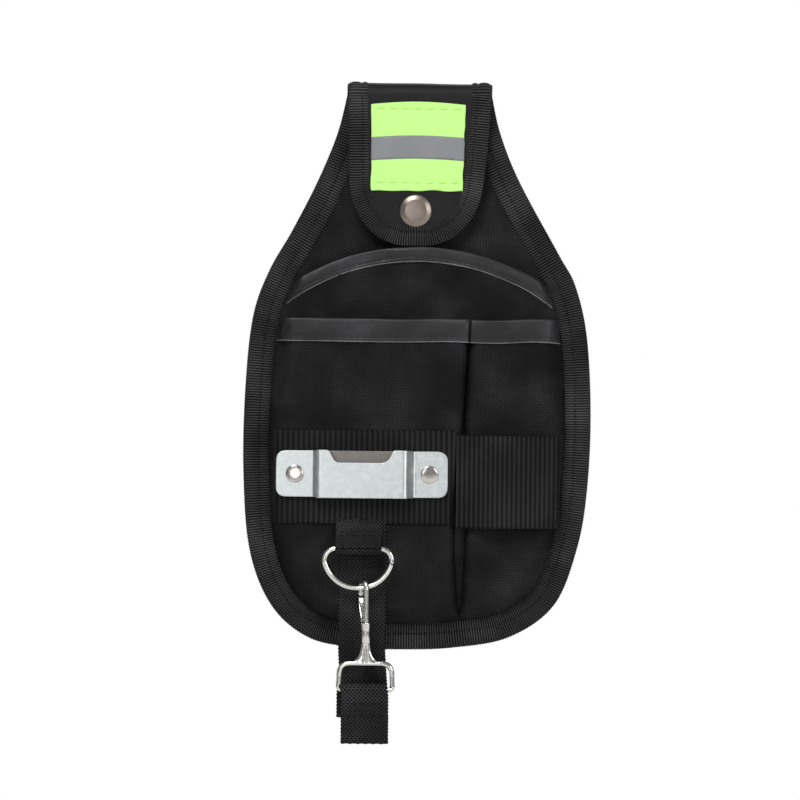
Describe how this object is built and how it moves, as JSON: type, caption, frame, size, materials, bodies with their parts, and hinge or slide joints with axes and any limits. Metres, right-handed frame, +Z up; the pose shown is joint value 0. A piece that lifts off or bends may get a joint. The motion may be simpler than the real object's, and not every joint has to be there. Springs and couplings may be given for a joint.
{
  "type": "electrician tool pouch",
  "caption": "Padded belt pouch with snap flap, a rear pocket, two front pockets, a webbing tool loop, a steel tape clip and a snap-hook tape strap.",
  "frame": {"origin": "axis of the top fold, midway between its two sides, where the belt passes through", "axes": "+Z up, the front with the pockets faces -Y, +X to the right seen from the front"},
  "size_m": [0.1852, 0.0328, 0.3516],
  "materials": {
    "oxford_cloth": "coarse woven polyester",
    "lining_cloth": "plain woven lining",
    "foam": "closed cell foam",
    "binding_tape": "ribbed grosgrain tape",
    "coated_cloth": "smooth coated nylon",
    "coated_trim": "soft coated synthetic leather",
    "wide_webbing": "ribbed webbing",
    "strap_webbing": "coarse polypropylene webbing",
    "fluorescent_cloth": "fluorescent woven cloth",
    "reflective_tape": "glass bead reflective tape",
    "plated_steel": "bright zinc plated sheet",
    "rivet_metal": "bright rivet",
    "nickel": "nickel plated"
  },
  "bodies": {
    "root": {"back_lining": "lining_cloth", "foam_core": "foam", "front_face": "oxford_cloth", "edge_binding": "binding_tape", "top_fold": "oxford_cloth", "rear_pocket_panel": "oxford_cloth", "rear_pocket_trim": "coated_trim", "front_pocket_left": "oxford_cloth", "front_trim_left": "coated_trim", "front_pocket_right": "oxford_cloth", "front_trim_right": "coated_trim", "band_left": "wide_webbing", "band_right": "wide_webbing", "clip_back_plate": "plated_steel", "clip_bracket": "plated_steel", "clip_rivets": "rivet_metal", "rivet_washers": "rivet_metal", "snap_stud": "nickel", "snap_post": "nickel", "dring_tab": "strap_webbing", "strap_upper": "strap_webbing"},
    "flap": {"flap_panel": "coated_cloth", "flap_binding": "binding_tape", "reflective_patch": "fluorescent_cloth", "silver_stripe": "reflective_tape", "snap_cap": "nickel", "snap_socket": "nickel"},
    "dring": {"dring": "nickel"},
    "hook": {"hook_body": "nickel", "hook_collar": "nickel"},
    "gate": {"gate_leaf": "nickel"},
    "strap": {"strap_loop": "strap_webbing"}
  },
  "joints": [
    {"name": "flap_fold", "type": "hinge", "parent": "root", "child": "flap", "pos_m": [0, 0, 0.0086], "axis": [-1, 0, 0], "range_deg": [0, 170], "deforming": ["top_fold"]},
    {"name": "dring_swing", "type": "hinge", "parent": "root", "child": "dring", "pos_m": [-0.0304, -0.01636, -0.241], "axis": [-1, 0, 0], "range_deg": [0, 30]},
    {"name": "hook_swing", "type": "hinge", "parent": "dring", "child": "hook", "pos_m": [-0.02737, -0.01636, -0.26155], "axis": [-1, 0, 0], "range_deg": [-30, 0]},
    {"name": "gate_press", "type": "hinge", "parent": "hook", "child": "gate", "pos_m": [-0.0273, -0.01654, -0.2798], "axis": [0.9455, 0.3256, 0], "range_deg": [0, 20], "stiffness_Nm_per_rad": 0.05, "springref_deg": -2.86},
    {"name": "strap_swing", "type": "hinge", "parent": "root", "child": "strap", "pos_m": [-0.0262, -0.02061, -0.29475], "axis": [-1, 0, 0], "range_deg": [0, 30]}
  ],
  "couplings": [
    {"joint": "hook_swing", "follows": "dring_swing", "ratio": -1},
    {"joint": "strap_swing", "follows": "dring_swing", "ratio": 1}
  ]
}
